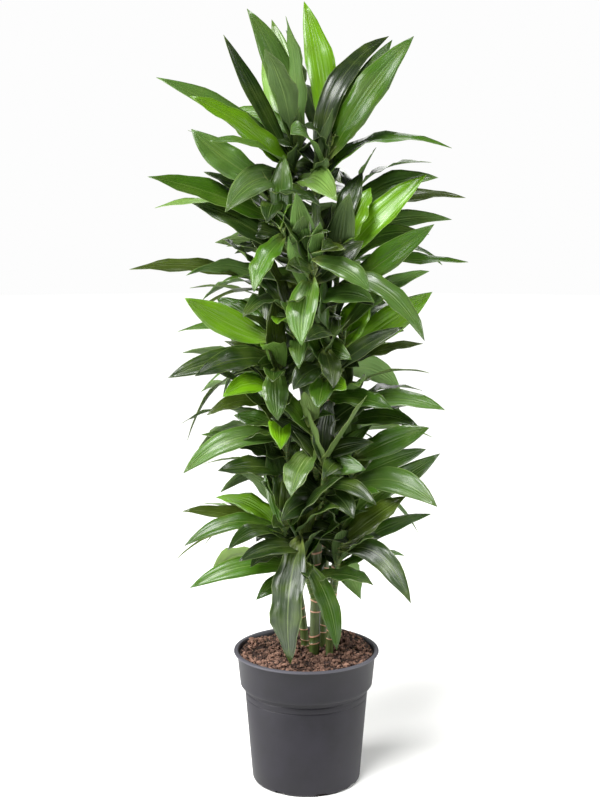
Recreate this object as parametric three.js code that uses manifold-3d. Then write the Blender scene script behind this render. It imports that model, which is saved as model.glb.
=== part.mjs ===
// A potted corn plant: a grey nursery pot filled with bark and coir, and four ringed canes
// in it that carry leafy shoots all the way down. Millimetres, +Z up. The origin is the
// middle of the pot's flat underside, and the plant's front faces -Y.

import * as THREE from 'three';
import { mergeVertices } from 'three/addons/utils/BufferGeometryUtils.js';
import Module from 'manifold-3d';

const wasm = await Module();
wasm.setup();

// ---- driving dimensions, mm ----
const CM = 10;
const CLEARANCE = 0.3;            // between pieces that touch on the real plant

const POT_HEIGHT = 277;
const RIM_RADIUS = 150;
const LIP_HEIGHT = 5;
const COLLAR_TOP_RADIUS = 143;    // the plain band under the lip
const COLLAR_BOTTOM_RADIUS = 137;
const COLLAR_HEIGHT = 66;
const SHOULDER_RADIUS = 128;      // where the body starts under the band
const SHOULDER_HEIGHT = 9;
const BASE_RADIUS = 110.5;
const BASE_EDGE = 8;              // the rounded bottom corner
const POT_WALL = 2.4;
const POT_FLOOR = 4;
const GROOVE_DEPTHS_BELOW_RIM = [84, 97];
const GROOVE = 1.3;
const DRAIN_SLOTS = 8;
const DRAIN_SLOT = { width: 22, height: 7, depth: 26 };
const POT_SIDES = 32;

const SOIL_BELOW_RIM = 9;
const SOIL_MOUND = { height: 13, x: 75, y: 85, spread: 48 };
const SOIL_LUMP = 2.6;
const SOIL_RINGS = 6;
const SOIL_SIDES = 24;

const SCAR_STEP = 38;             // between the ring scars of fallen leaves
const SCAR_RIDGE = 0.9;
const CANE_SIDES = 6;
const SHOOT_SIDES = 4;
const SHOOT_STEPS = 3;

const BLADE_THICKNESS = 1.4;      // at the midrib, thinning to the edges
const BLADE_FOLD = 0.2;           // rise of the edges over the midrib, as a share of half the width
const BLADE_STATIONS = [0.14, 0.46, 0.78];
const WIDEST = 0.5;               // where a blade is widest, as a share of its length
const EARLY_BEND = 0.9;           // how much nearer its root a leaf bends, the more it bows
const SWEEP = 0.08;               // sideways bow of a blade, at most, as a share of its length
const TWIST = 25;                 // degrees, from root to tip, at most
const WAVE = 0.07;                // edge ripple, as a share of the width
const WAVES = 1.7;                // ripples along a blade
const LEAF_GAP = 0.8;             // the least air between two blades
const ROOT_SHARE = 0.22;          // of a blade, where it clasps the shoot among its neighbours
const SEED = 19;

// ---- canes: points up the middle, in cm (right, away, up), and the radius in mm ----
const canes = {
  tall_cane: { radius: 10.5, path: [[1.5, -1, 18], [2, -1.5, 45], [2.8, -1.5, 72], [2.6, -1, 90],
    [-0.5, -0.5, 106], [-1.8, -1, 120]] },
  middle_cane: { radius: 8, path: [[3, 2.2, 18], [3.8, 3.2, 42], [5, 4.2, 72], [4.6, 3.6, 97]] },
  left_cane: { radius: 8.5, path: [[0.4, 1.6, 18], [-0.6, 1.7, 32], [-3.4, 1.4, 52], [-5, 0.6, 76]] },
  right_cane: { radius: 8, path: [[4.2, -1.6, 18], [5.2, -1.8, 36], [7, -1.6, 58]] },
};

// ---- leafy shoots ----
// from: the cane and the height on it where the shoot leaves; top: its growing tip.
// leaves, from the lowest to the youngest: the tip (right, away, up) and the width in cm, how
// far the leaf bows over the straight line to its tip, as a share of that line, and how many
// degrees its upper face is turned to the front.
// spiral: the leaves that stand round the back and in the middle: their habit, how many, the
// bearing that they start from (0 right, 90 away from the front) and the degrees they spread over.
const OUTER = { length: [17, 25], width: [4, 5.8], rise: [-25, 62], arch: [0.08, 0.24], turn: [10, 60] };
const INNER = { length: [12, 18], width: [3.8, 5.2], rise: [0, 78], arch: [0.04, 0.18], turn: [25, 65] };
const shoots = {
  top_middle_shoot: { from: ['tall_cane', 118], top: [-2.7, -1, 131], spiral: [OUTER, 4, 90, 200], leaves: [
    [5.5, -18, 119.5, 5.6, 0.16, 30], [-15, -17, 117.5, 5.6, 0.14, 55], [-14.5, -5, 135, 4, 0.05, 20],
    [-22, -10, 139, 5.6, 0.05, 60], [-29, -3, 143, 6, 0.06, 60], [-16, -3, 151, 3.9, 0, 60],
    [-4, -7, 154, 5.1, 0.05, 30], [-9, 12, 147.5, 4.7, 0.05, 30], [-11.5, -2, 156, 6, 0.08, 65],
    [-4, 3, 152, 5.1, 0.08, 30], [-7, 9, 155.5, 4.5, 0.03, 40],
  ] },
  top_right_shoot: { from: ['tall_cane', 113], top: [4.6, -4, 131.5], spiral: [OUTER, 3, 60, 160], leaves: [
    [5, -8, 137, 3.6, 0.05, 0], [28, -5, 129.5, 4.8, 0.24, 40], [11, 5, 134, 3.6, 0.1, 10],
    [16.5, 9, 152, 4.8, 0.22, 30], [-3, -14, 135, 4.8, 0.2, 45], [20, -8, 150, 6.5, 0.05, 78],
    [17, 4, 151, 4.7, 0.04, 50], [-0.5, 7, 158.5, 6.1, 0.02, 0], [7, -1, 145.5, 3.6, 0.02, 0],
  ] },
  upper_left_shoot: { from: ['tall_cane', 108], top: [-7.5, -8, 123], spiral: [OUTER, 2, 120, 90], leaves: [
    [-30, 0, 118, 3.9, 0.12, 30], [-30, -12, 124, 5.8, 0.04, 60], [-20, -2, 125, 3.9, 0.05, 20],
    [-7.5, -16, 115.5, 4.3, 0.14, 0], [2.5, -14, 118.5, 4.3, 0.12, 30], [-22, -8, 133, 6, -0.05, 65],
  ] },
  upper_right_shoot: { from: ['middle_cane', 94], top: [6.5, -7, 113], spiral: [OUTER, 1, 30, 60], leaves: [
    [24.5, -8, 115, 5.6, 0, 60], [8, -12, 121, 5.4, 0.03, 0], [22.5, -13, 93, 4.7, 0.14, 50],
    [23.5, -1, 124.5, 5.6, 0.03, 65], [12.5, -4, 122, 6.1, 0.03, 30], [11, 2, 125, 4.7, 0.04, 0],
  ] },
  back_right_shoot: { from: ['tall_cane', 101], top: [9, 8, 118.5], spiral: [OUTER, 4, 60, 150], leaves: [
    [33, 7, 107, 3.9, 0.02, 20], [28.5, 15, 106, 4.3, 0.16, 20], [30, 12, 115.5, 4.3, 0.09, 45],
    [31.5, 1, 120, 3.6, 0.14, 35], [26.5, 6, 124, 5.2, 0.16, 60], [25, 12, 123.5, 4.3, 0.22, 20],
    [14, 7, 130, 4.7, 0.03, 0],
  ] },
  upper_front_shoot: { from: ['tall_cane', 96], top: [1, -11, 108], spiral: [INNER, 5, -40, 260], leaves: [
    [-3.5, -17, 113, 2.8, -0.05, 0], [-2, -15, 121, 5.2, 0.04, 0], [5, -8, 119, 4.3, 0.04, 0],
    [-1, -17, 92.5, 6.5, 0.1, 0], [2.5, -10, 115.5, 3.6, 0.03, 0], [12, -15, 102.5, 4.8, 0.12, 45],
  ] },
  left_front_shoot: { from: ['tall_cane', 103], top: [-4.5, -10, 114.5], spiral: [INNER, 5, -40, 260], leaves: [
    [-13.5, -6, 111, 3.9, 0.1, 20], [-22, -9, 119, 5.2, 0.05, 60], [-8, -15, 118.5, 4.7, 0.18, 0],
    [-10, -15, 102.5, 5, 0.12, 30], [0.5, -17, 116.5, 4.3, 0.25, 20],
  ] },
  left_back_shoot: { from: ['tall_cane', 92], top: [-9, 4, 105], spiral: [OUTER, 3, 110, 120], leaves: [
    [-21, -3, 98.5, 2.8, 0.25, 0], [-23.5, 3, 102, 2.8, 0.1, 0], [-9.5, -8, 101, 4.3, 0.12, 30],
    [-21.5, 11, 99, 4.3, 0.2, 10], [-24, 8, 104.5, 3.9, 0.2, 0], [-35, -2, 106, 3.9, 0.06, 45],
    [-16.5, -2, 112, 4.7, 0.02, 35],
  ] },
  middle_left_shoot: { from: ['tall_cane', 80], top: [-7.5, -5, 93.5], spiral: [OUTER, 1, 150, 60], leaves: [
    [-24.5, 5, 70.5, 3.8, 0.24, 10], [-21, 0, 81.5, 3.9, 0.22, 10], [-17.5, 9, 78.5, 4.3, 0.24, 10],
    [-21, -19, 87, 4.8, 0.08, 45], [-26.5, -14, 86, 5.2, 0.06, 50], [-13.5, 5, 89.5, 2.4, 0.1, 0],
    [-23.5, -10, 101, 6, -0.03, 70], [-18, 2, 100, 5.2, 0.02, 45],
  ] },
  middle_shoot: { from: ['tall_cane', 86], top: [-4, -8, 98.5], spiral: [INNER, 5, -40, 260], leaves: [
    [-1.5, -16, 88, 3.9, 0.2, 0], [-5.5, -17, 96.5, 4.7, 0.16, 0], [-12, -18, 98, 4.3, 0.22, 30],
  ] },
  middle_right_shoot: { from: ['middle_cane', 80], top: [7.5, -4, 94], spiral: [OUTER, 1, 60, 40], leaves: [
    [15.5, -12, 92.5, 3.9, 0.1, 30], [23, -4, 91.5, 3.4, 0.06, 20], [-0.5, -17, 92, 4.8, 0.16, 35],
    [25, -1, 101.5, 6, 0, 65], [12.5, 2, 101.5, 6, 0.02, 50], [20, 7, 99.5, 3.8, 0.06, 10],
    [24.5, 1, 105.5, 4.3, 0.12, 30],
  ] },
  front_shoot: { from: ['tall_cane', 76], top: [3.5, -11, 91], spiral: [INNER, 5, -40, 260], leaves: [
    [7.5, -16, 84, 3.9, 0.1, 30], [2, -16, 80.5, 4.8, 0.1, 20], [-2.6, -16, 84, 4.7, 0.1, 30],
    [5, -17, 84.5, 4.8, 0.1, 0],
  ] },
  low_left_front_shoot: { from: ['left_cane', 70], top: [-6, -9, 87], spiral: [INNER, 5, -40, 260], leaves: [
    [-5, -16, 72.5, 4.7, 0.1, 0], [-19.5, -9, 78, 3.9, 0.16, 25], [-16, -15, 82.5, 4.5, 0.2, 40],
    [-8.5, -17, 92.5, 4.5, 0.3, 0], [-5.5, -15.5, 78, 5.2, 0.1, 0],
  ] },
  low_left_shoot: { from: ['left_cane', 60], top: [-4, -8, 76], spiral: [OUTER, 2, 150, 60], leaves: [
    [-17, -17, 68.5, 4.8, 0.06, 50], [-20.5, -5, 67.5, 2.8, 0.08, 0], [-15.5, -8, 72.5, 4.7, 0.05, 40],
    [-21.5, 3, 72, 3.4, 0.05, 15], [-24, -12, 67, 4.8, 0.18, 50], [-14.5, -4, 78, 4.3, 0.05, 40],
    [-12, 1, 79, 2.8, 0.02, 0],
  ] },
  low_middle_shoot: { from: ['tall_cane', 62], top: [1, -10, 77], spiral: [INNER, 5, -40, 260], leaves: [
    [-3, -17, 63.5, 5.8, 0.1, 10], [-0.5, -12, 87, 3.9, 0.03, 0],
  ] },
  low_right_back_shoot: { from: ['middle_cane', 66], top: [8.5, -1, 82], spiral: [OUTER, 1, 30, 50], leaves: [
    [14.5, 4, 70, 3.6, 0.25, 0], [25.5, 0, 72, 2.8, 0.1, 0], [22, -7, 75.5, 4.1, 0.12, 40],
    [22.5, 3, 79, 2.8, -0.03, 0], [27, -9, 79, 5.6, 0.12, 35], [10, -16, 81, 4.8, 0.16, 20],
    [13.5, 9, 82.5, 4.1, 0.1, 0], [24.5, -3, 85.5, 2.8, 0.12, 0],
  ] },
  low_front_shoot: { from: ['tall_cane', 54], top: [3.5, -10, 69], spiral: [INNER, 5, -40, 260], leaves: [
    [-5, -14, 58, 4.7, 0.12, 40], [9, -16, 59, 4.7, 0.12, 40], [-0.5, -12, 81, 4, 0.02, 0],
    [11.5, -14, 83, 5.6, 0.02, 15],
  ] },
  low_right_shoot: { from: ['right_cane', 53], top: [9.5, -5, 70.5], spiral: [OUTER, 2, 60, 50], leaves: [
    [28, 9, 67, 4.7, -0.04, 50], [10, -13, 61.5, 4.3, 0.1, 10], [25, -17, 61.5, 5.4, 0.15, 60],
    [24.5, 3, 69, 3.9, 0.03, 40], [3, -15, 66.5, 3.9, 0.2, 20], [24, -9, 75.5, 5.2, 0.03, 65],
    [10.5, 4, 71, 2.8, 0.03, 0],
  ] },
  base_left_shoot: { from: ['left_cane', 43.5], top: [-4.5, -9, 56], spiral: [OUTER, 3, 100, 70], leaves: [
    [-11.5, -10, 55, 5.2, 0.1, 30], [-27, -1, 46.5, 3.2, 0.26, 0], [6.5, -20, 62, 3.9, 0.14, 30],
    [-24.5, -12, 59, 4.3, 0.12, 25], [-21.5, 4, 48, 2.8, 0.3, 0], [-15, -21, 54, 4.8, 0.18, 30],
    [-18.5, -3, 58.5, 4.7, 0.16, 45], [-24, -5, 52.5, 3.9, 0.2, 30], [7, -17, 67.5, 5.2, 0.05, 45],
    [-9, -14, 68, 4.8, 0.03, 0], [-8.5, -6, 74.5, 5.6, 0.03, 0],
  ] },
  base_front_shoot: { from: ['tall_cane', 38.5], top: [-1, -8, 53], spiral: [INNER, 5, -40, 260], leaves: [
    [-10, -10, 41, 3.9, 0.14, 60], [-23, -12, 44, 4.7, 0.12, 40], [6, -11, 31, 4.3, 0.08, 75],
    [-13, -18, 51.5, 4.3, 0.1, 40], [-3.2, -14, 29.2, 7.8, 0.2, 0],
  ] },
  base_right_shoot: { from: ['right_cane', 40], top: [7, -7, 56.5], spiral: [OUTER, 2, 60, 60], leaves: [
    [19.5, -8, 49.5, 4.3, 0.12, 30], [13, -17, 55.5, 3.2, 0.08, 20], [26, 5, 55, 3.8, 0.05, 20],
    [20, -19, 43, 5, 0.22, 60], [19.5, -11, 62, 5.4, 0.02, 65], [21, 0, 63.5, 4.8, 0.12, 40],
    [13, 1, 65, 4.8, 0.02, 0], [9, -6, 63, 4.3, 0.02, 0],
  ] },
  back_upper_shoot: { from: ['middle_cane', 90], top: [-3, 11, 112], spiral: [OUTER, 11, 20, 230], leaves: [] },
  back_middle_shoot: { from: ['middle_cane', 74], top: [5, 12, 93], spiral: [OUTER, 11, 0, 190], leaves: [] },
  back_left_shoot: { from: ['left_cane', 66], top: [-9, 9, 82], spiral: [OUTER, 10, 60, 170], leaves: [] },
  back_low_shoot: { from: ['middle_cane', 52], top: [3, 12, 70], spiral: [OUTER, 11, 20, 180], leaves: [] },
  back_base_shoot: { from: ['middle_cane', 36], top: [9, 9, 54], spiral: [OUTER, 9, 60, 100], leaves: [] },
  back_base_left_shoot: { from: ['left_cane', 34], top: [-7, 9, 52], spiral: [OUTER, 8, 50, 120], leaves: [] },
};
const SHOOT_RADIUS = { low: 7.5, top: 3.5 };
const ROOT_DEPTH = 0.5;           // a leaf's root, from the middle of the shoot to its skin
const LEAFLESS = 0.3;             // the bare lower part of a shoot

const SPIRAL = 0.618034;          // of the sweep, from each leaf to the next
const JITTER = 12;                // degrees, of a spiral leaf's bearing and rise

// shifts of a leaf's tip (away, up), in cm, tried in turn until its blade hangs clear
const SHIFTS = [[0, 0]];
for (const up of [0, 1, -1, 2, -2, 3.5, -3.5]) {
  for (const away of [1, -1, 2, -2, 3.5, -3.5, 5, -5, 7, -7]) {
    SHIFTS.push([away, up]);
  }
}

// ---- solids ----
function solid(geometry) {
  geometry.deleteAttribute('normal');
  geometry.deleteAttribute('uv');
  const merged = mergeVertices(geometry, 1e-3);
  const corners = Array.from(merged.index.array);
  const kept = [];
  for (let i = 0; i < corners.length; i += 3) {
    const [a, b, c] = corners.slice(i, i + 3);
    if (a !== b && b !== c && c !== a) {
      kept.push(a, b, c);
    }
  }
  const vertProperties = merged.attributes.position.array;
  return new wasm.Manifold(new wasm.Mesh({ numProp: 3, vertProperties, triVerts: new Uint32Array(kept) }));
}

function largest(body) {
  return body.decompose().reduce((best, piece) => (piece.volume() > best.volume() ? piece : best));
}

function place(name, body, material) {
  const { vertProperties, triVerts } = body.getMesh();
  const geometry = new THREE.BufferGeometry();
  geometry.setAttribute('position', new THREE.BufferAttribute(vertProperties, 3));
  geometry.setIndex(new THREE.BufferAttribute(triVerts, 1));
  geometry.computeVertexNormals();
  const mesh = new THREE.Mesh(geometry, material);
  mesh.name = name;
  return mesh;
}

function point([right, away, up]) {
  return new THREE.Vector3(right, away, up).multiplyScalar(CM);
}

// an upright body, from z = 0 to z = 1, laid along a curve; past the ends it runs straight on
function bend(geometry, curve) {
  const position = geometry.attributes.position;
  const away = new THREE.Vector3(0, 1, 0);
  const length = curve.getLength();
  for (let i = 0; i < position.count; i += 1) {
    const along = Math.min(1, Math.max(0, position.getZ(i)));
    const tangent = curve.getTangent(along);
    const side = away.clone().cross(tangent).normalize();
    const front = tangent.clone().cross(side);
    const spot = curve.getPoint(along).addScaledVector(tangent, (position.getZ(i) - along) * length);
    spot.addScaledVector(side, position.getX(i)).addScaledVector(front, position.getY(i));
    position.setXYZ(i, spot.x, spot.y, spot.z);
  }
  return geometry;
}

// ---- pot ----
function potProfile() {
  const profile = new THREE.Path();
  const collarBottom = POT_HEIGHT - COLLAR_HEIGHT;
  const bodyTop = collarBottom - SHOULDER_HEIGHT;
  const wallAt = (z) => BASE_RADIUS + 1 + ((SHOULDER_RADIUS - BASE_RADIUS - 1) * z) / bodyTop;
  profile.moveTo(0, 0);
  profile.lineTo(BASE_RADIUS - BASE_EDGE, 0);
  profile.quadraticCurveTo(BASE_RADIUS, 0, wallAt(BASE_EDGE), BASE_EDGE);
  for (const depth of [...GROOVE_DEPTHS_BELOW_RIM].reverse()) {
    const z = POT_HEIGHT - depth;
    profile.lineTo(wallAt(z - 2 * GROOVE), z - 2 * GROOVE);
    profile.lineTo(wallAt(z) - GROOVE, z);
    profile.lineTo(wallAt(z + GROOVE), z + GROOVE);
  }
  profile.lineTo(SHOULDER_RADIUS, bodyTop);
  profile.quadraticCurveTo(COLLAR_BOTTOM_RADIUS, bodyTop + 1, COLLAR_BOTTOM_RADIUS, collarBottom);
  profile.lineTo(COLLAR_TOP_RADIUS, POT_HEIGHT - LIP_HEIGHT);
  profile.lineTo(RIM_RADIUS - 1.5, POT_HEIGHT - LIP_HEIGHT);
  profile.lineTo(RIM_RADIUS, POT_HEIGHT - LIP_HEIGHT + 1.5);
  profile.lineTo(RIM_RADIUS - 1.5, POT_HEIGHT);
  profile.lineTo(COLLAR_TOP_RADIUS - POT_WALL + 2, POT_HEIGHT);
  profile.lineTo(COLLAR_TOP_RADIUS - POT_WALL, POT_HEIGHT - 2);
  profile.lineTo(COLLAR_BOTTOM_RADIUS - POT_WALL, collarBottom);
  profile.lineTo(SHOULDER_RADIUS - POT_WALL, bodyTop);
  profile.lineTo(wallAt(POT_FLOOR) - POT_WALL, POT_FLOOR);
  profile.lineTo(0, POT_FLOOR);
  return profile.getPoints(3);
}

function spun(profile, sides) {
  return new THREE.LatheGeometry(profile, sides).rotateX(Math.PI / 2);
}

function potBody() {
  let body = solid(spun(potProfile(), POT_SIDES));
  for (let i = 0; i < DRAIN_SLOTS; i += 1) {
    const slot = new THREE.BoxGeometry(DRAIN_SLOT.depth, DRAIN_SLOT.width, DRAIN_SLOT.height);
    slot.translate(BASE_RADIUS, 0, DRAIN_SLOT.height / 2 - 0.5);
    slot.rotateZ(((i + 0.35) / DRAIN_SLOTS) * 2 * Math.PI);
    body = body.subtract(solid(slot));
  }
  return body;
}

// ---- soil: a fill whose top is lumpy and heaped at the back right ----
function soilTop(x, y) {
  const lumps = Math.sin(x / 11 + 1.3 * Math.sin(y / 17)) * Math.cos(y / 9 + 1.1 * Math.sin(x / 14));
  const heap = Math.exp(-((x - SOIL_MOUND.x) ** 2 + (y - SOIL_MOUND.y) ** 2) / (2 * SOIL_MOUND.spread ** 2));
  return POT_HEIGHT - SOIL_BELOW_RIM + SOIL_LUMP * lumps + SOIL_MOUND.height * heap;
}

function soilBody() {
  const wall = POT_WALL + CLEARANCE;
  const collarBottom = POT_HEIGHT - COLLAR_HEIGHT;
  const bodyTop = collarBottom - SHOULDER_HEIGHT;
  const top = POT_HEIGHT - SOIL_BELOW_RIM;
  const topRadius = COLLAR_TOP_RADIUS - wall - 1.5;
  const bottomRadius = BASE_RADIUS + 1 - wall - 0.5;
  const bottom = POT_FLOOR + CLEARANCE;
  const profile = [new THREE.Vector2(0, bottom), new THREE.Vector2(bottomRadius, bottom)];
  profile.push(new THREE.Vector2(SHOULDER_RADIUS - wall - 0.6, bodyTop));
  profile.push(new THREE.Vector2(COLLAR_BOTTOM_RADIUS - wall - 0.6, collarBottom));
  for (let ring = 0; ring <= SOIL_RINGS; ring += 1) {
    profile.push(new THREE.Vector2(topRadius * (1 - ring / SOIL_RINGS), top));
  }
  const geometry = spun(profile, SOIL_SIDES);
  const position = geometry.attributes.position;
  for (let i = 0; i < position.count; i += 1) {
    if (Math.abs(position.getZ(i) - top) < 0.01) {
      position.setZ(i, soilTop(position.getX(i), position.getY(i)));
    }
  }
  return solid(geometry);
}

// ---- canes: ringed with scars, set in plain holes in the soil ----
function caneCurve({ path }) {
  return new THREE.CatmullRomCurve3(path.map(point));
}

function caneBody(cane, grow = 0) {
  const curve = caneCurve(cane);
  const length = curve.getLength();
  const [foot, head] = [-grow / length, 1 + grow / length];
  const profile = [new THREE.Vector2(0, foot), new THREE.Vector2(cane.radius + grow, foot)];
  const scars = Math.floor(length / SCAR_STEP);
  for (let scar = 1; scar < scars; scar += 1) {
    const height = scar / scars;
    profile.push(new THREE.Vector2(cane.radius + SCAR_RIDGE + grow, height));
    profile.push(new THREE.Vector2(cane.radius + grow, height + 4 / length));
  }
  profile.push(new THREE.Vector2(cane.radius * 0.8 + grow, head), new THREE.Vector2(0, head));
  return solid(bend(spun(profile, CANE_SIDES), curve));
}

// ---- shoots and leaves ----
function shootCurve({ from: [cane, height], top }) {
  const curve = caneCurve(canes[cane]);
  let low = 0;
  let high = 1;
  for (let i = 0; i < 30; i += 1) {
    const middle = (low + high) / 2;
    if (curve.getPoint(middle).z < height * CM) {
      low = middle;
    } else {
      high = middle;
    }
  }
  const start = curve.getPoint(low);
  const end = point(top);
  const turn = start.clone().lerp(end, 0.75);
  turn.z = start.z + (end.z - start.z) * 0.4;
  return new THREE.QuadraticBezierCurve3(start, turn, end);
}

// a spot on the middle of the shoot, whose stem runs straight between its steps
function onStem(curve, along) {
  const step = Math.min(Math.floor(along * SHOOT_STEPS), SHOOT_STEPS - 1);
  const low = curve.getPoint(step / SHOOT_STEPS);
  return low.lerp(curve.getPoint((step + 1) / SHOOT_STEPS), along * SHOOT_STEPS - step);
}

function stemBody(curve) {
  const { top, low } = SHOOT_RADIUS;
  const geometry = new THREE.CylinderGeometry(top, low, 1, SHOOT_SIDES, SHOOT_STEPS);
  return solid(bend(geometry.rotateX(Math.PI / 2).translate(0, 0, 0.5), curve));
}

// the blade: a bowed midrib, edges that swell and then run to a point, a shallow fold and a ripple
function bladeBody({ root, tip, width, arch, face, phase }, grow = 0, start = 0) {
  const chord = tip.clone().sub(root);
  const length = chord.length();
  chord.normalize();
  const across = chord.clone().cross(new THREE.Vector3(0, 0, 1)).normalize();
  const over = across.clone().cross(chord);
  const bendAt = Math.max(0.15, 0.5 - EARLY_BEND * Math.max(0, arch - 0.1));
  const middle = root.clone().lerp(tip, bendAt).addScaledVector(over, 2 * arch * length);
  middle.addScaledVector(across, SWEEP * length * Math.sin(phase));
  const midrib = new THREE.QuadraticBezierCurve3(root, middle, tip);
  const corners = [midrib.getPoint(start)];
  const stations = BLADE_STATIONS.map((s) => start + (1 - start) * s);
  for (const s of stations) {
    const spot = midrib.getPoint(s);
    const flatAbove = across.clone().cross(midrib.getTangent(s)).normalize();
    const turn = THREE.MathUtils.degToRad((across.y < 0 ? face : -face) + TWIST * s * Math.cos(phase));
    const side = across.clone().multiplyScalar(Math.cos(turn)).addScaledVector(flatAbove, -Math.sin(turn));
    const above = flatAbove.multiplyScalar(Math.cos(turn)).addScaledVector(across, Math.sin(turn));
    const half = (bladeWidth(2 * s * (1 - s) * bendAt + s * s) * width) / 2 + grow;
    const thick = (BLADE_THICKNESS / 2) * (1 - 0.4 * s) + grow;
    for (const [edge, late] of [[1, 0], [-1, 2.1]]) {
      const lift = half * (BLADE_FOLD + 2 * WAVE * s * Math.sin(2 * Math.PI * WAVES * s + phase + late));
      corners.push(spot.clone().addScaledVector(side, edge * half).addScaledVector(above, lift));
    }
    corners.push(spot.clone().addScaledVector(above, thick), spot.clone().addScaledVector(above, -thick));
  }
  corners.push(tip);
  return solid(bladeGeometry(corners));
}

function bladeWidth(s) {
  const swell = 0.38 + 0.62 * Math.sin((Math.min(s / WIDEST, 1) * Math.PI) / 2);
  return swell * (1 - Math.max(0, (s - WIDEST) / (1 - WIDEST)) ** 2);
}

// a point at each end, and between them stations of four corners (left, right, top, bottom),
// split alike on the blade's two faces
function bladeGeometry(corners) {
  const tip = corners.length - 1;
  const faces = [];
  for (let left = 1; left < tip; left += 4) {
    const [right, top, bottom] = [left + 1, left + 2, left + 3];
    if (left === 1) {
      faces.push(0, left, top, 0, top, right, 0, right, bottom, 0, bottom, left);
    }
    if (left + 4 === tip) {
      faces.push(left, tip, top, right, top, tip, right, tip, bottom, left, bottom, tip);
    } else {
      faces.push(left, top + 4, top, left, left + 4, top + 4, right, top, top + 4, right, top + 4, right + 4);
      faces.push(right, bottom + 4, bottom, right, right + 4, bottom + 4);
      faces.push(left, bottom, bottom + 4, left, bottom + 4, left + 4);
    }
  }
  const geometry = new THREE.BufferGeometry();
  geometry.setAttribute('position', new THREE.Float32BufferAttribute(corners.flatMap((c) => c.toArray()), 3));
  geometry.setIndex(faces);
  return geometry;
}

function mulberry(seed) {
  let state = seed;
  return () => {
    state = (state + 0x6d2b79f5) | 0;
    let t = Math.imul(state ^ (state >>> 15), 1 | state);
    t = (t + Math.imul(t ^ (t >>> 7), 61 | t)) ^ t;
    return ((t ^ (t >>> 14)) >>> 0) / 4294967296;
  };
}

const random = mulberry(SEED);

function between([least, most]) {
  return least + (most - least) * random();
}

function shootLeaves(shoot, curve) {
  const leaves = shoot.leaves.map(([right, away, up, width, arch, face], i) => ({
    at: (i + 0.9) / shoot.leaves.length, tip: point([right, away, up]), width: width * CM, arch, face,
    phase: 2 * Math.PI * random() }));
  const [habit, count, bearing, spread] = shoot.spiral;
  const outward = shoot.top[1] > 0 ? -1 : 1;
  for (let i = 0; i < count; i += 1) {
    const at = (i + 0.5) / count;
    const round = bearing + spread * ((i * SPIRAL) % 1) + between([-JITTER, JITTER]);
    const turned = THREE.MathUtils.degToRad(round);
    const [low, high] = habit.rise;
    const raised = THREE.MathUtils.degToRad(low + (high - low) * at + between([-JITTER, JITTER]));
    const reach = new THREE.Vector3(
      Math.cos(turned) * Math.cos(raised), Math.sin(turned) * Math.cos(raised), Math.sin(raised));
    const base = onStem(curve, LEAFLESS + (1 - LEAFLESS) * at);
    const tip = base.addScaledVector(reach, between(habit.length) * CM);
    const width = between(habit.width) * CM;
    const arch = between(habit.arch);
    leaves.push({ at, tip, width, arch, face: outward * between(habit.turn), phase: 2 * Math.PI * random() });
  }
  for (const leaf of leaves) {
    const along = LEAFLESS + (1 - LEAFLESS) * leaf.at;
    const middle = onStem(curve, along);
    const side = leaf.tip.clone().sub(middle).setZ(0).normalize();
    const radius = SHOOT_RADIUS.low + (SHOOT_RADIUS.top - SHOOT_RADIUS.low) * along;
    leaf.root = middle.addScaledVector(side, ROOT_DEPTH * radius);
  }
  return leaves;
}

function near(a, b) {
  return a.min.every((low, i) => low < b.max[i]) && b.min.every((low, i) => low < a.max[i]);
}

function clear(body, others) {
  const box = body.boundingBox();
  return others.every((other) => !near(box, other.box) || body.intersect(other.body).isEmpty());
}

function boxed(body) {
  return { body, box: body.boundingBox() };
}

// ---- assembly ----
const plastic = new THREE.MeshStandardMaterial({ color: '#4b4a4f', roughness: 0.55, metalness: 0 });
const bark = new THREE.MeshStandardMaterial({ color: '#6b4a3a', roughness: 0.95, metalness: 0 });
const caneBark = new THREE.MeshStandardMaterial({ color: '#8d9265', roughness: 0.7, metalness: 0 });
const foliage = new THREE.MeshStandardMaterial({ color: '#4a6b35', roughness: 0.4, metalness: 0 });

const plant = new THREE.Group();
const potSolid = potBody();
const caneSolids = Object.values(canes).map((cane) => caneBody(cane));
const caneRooms = Object.values(canes).map((cane) => caneBody(cane, CLEARANCE));
const soilSolid = caneRooms.reduce((soil, room) => soil.subtract(room), soilBody());
plant.add(place('pot', potSolid, plastic), place('soil', soilSolid, bark));
Object.keys(canes).forEach((name, i) => plant.add(place(name, caneSolids[i], caneBark)));

const fixed = [potSolid, soilSolid, ...caneRooms].map(boxed);
const names = Object.keys(shoots);
const curves = names.map((name) => shootCurve(shoots[name]));
const stems = curves.map(stemBody);
const stemBoxes = stems.map(boxed);
const blades = names.map(() => []);
const outers = names.map(() => []);
names.forEach((name, n) => {
  const otherStems = stemBoxes.filter((_, i) => i !== n);
  for (const leaf of shootLeaves(shoots[name], curves[n])) {
    const otherBlades = blades.filter((_, i) => i !== n).flat();
    const aim = leaf.tip.clone();
    for (const [away, up] of SHIFTS) {
      leaf.tip = aim.clone().add(point([0, away, up]));
      const roomy = bladeBody(leaf, LEAF_GAP);
      const outer = bladeBody(leaf, LEAF_GAP, ROOT_SHARE);
      if (clear(roomy, [...fixed, ...otherStems, ...otherBlades]) && clear(outer, outers[n])) {
        blades[n].push(boxed(bladeBody(leaf)));
        outers[n].push(boxed(outer));
        break;
      }
    }
  }
});
names.forEach((name, n) => {
  let shoot = stems[n];
  for (const { body } of blades[n]) {
    shoot = shoot.add(body);
  }
  caneRooms.forEach((room) => {
    shoot = shoot.subtract(room);
  });
  plant.add(place(name, largest(shoot), foliage));
});

export default plant;
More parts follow.
